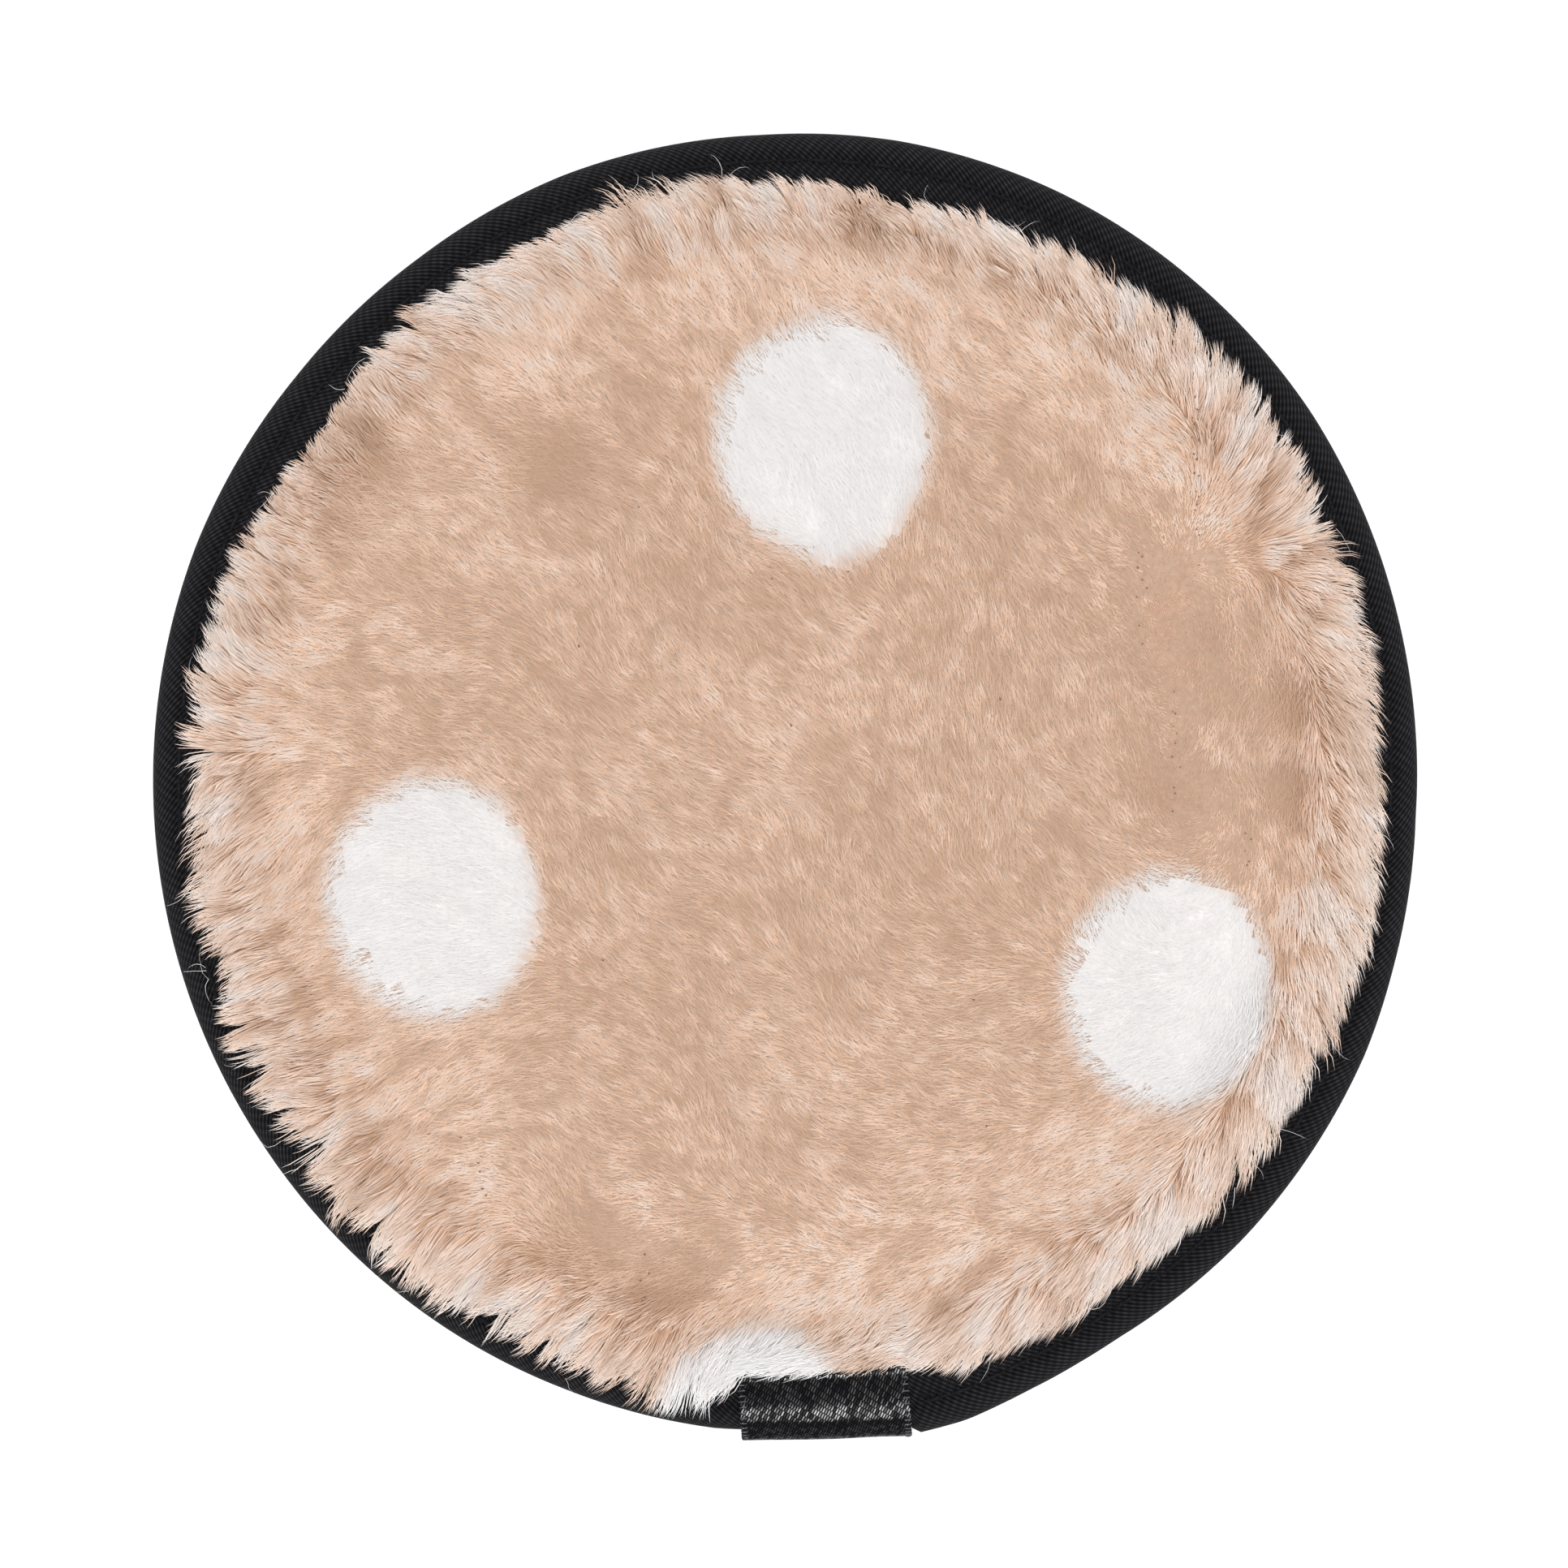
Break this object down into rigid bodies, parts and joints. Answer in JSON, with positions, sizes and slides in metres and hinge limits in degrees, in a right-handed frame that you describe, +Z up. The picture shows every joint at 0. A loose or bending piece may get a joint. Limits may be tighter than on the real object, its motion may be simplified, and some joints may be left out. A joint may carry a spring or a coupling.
{
  "type": "makeup remover pad",
  "caption": "Round two-sided plush pad with white spots in its pile, a dark twill tape bound round the edge and a short satin ribbon folded over the rim, used wet to wipe off make-up.",
  "frame": {"origin": "on the table, under the middle of the pad, which lies face up on its rear pile", "axes": "+Z up through the thickness, out of the front pile; the ribbon lies towards -Y; +X to the right seen from above"},
  "size_m": [0.12, 0.124, 0.0143],
  "materials": {
    "beige_pile": "deep soft polyester pile, beige",
    "white_pile": "deep soft polyester pile, white",
    "ground_knit": "knitted ground cloth, beige",
    "wadding": "soft white wadding",
    "black_twill": "matt black twill tape",
    "black_satin": "black satin ribbon with a soft sheen",
    "black_thread": "black sewing thread"
  },
  "bodies": {
    "root": {"front_pile": "beige_pile", "front_spot_top": "white_pile", "front_spot_left": "white_pile", "front_spot_right": "white_pile", "front_spot_rim": "white_pile", "front_ground_cloth": "ground_knit", "absorbent_core": "wadding", "rear_ground_cloth": "ground_knit", "rear_pile": "beige_pile", "rear_spot_upper": "white_pile", "rear_spot_lower": "white_pile", "rear_spot_left_rim": "white_pile", "rear_spot_right_rim": "white_pile", "edge_binding": "black_twill", "binding_needle_thread": "black_thread", "binding_bobbin_thread": "black_thread", "ribbon_loop": "black_satin", "ribbon_needle_thread": "black_thread", "ribbon_bobbin_thread": "black_thread"}
  },
  "joints": []
}
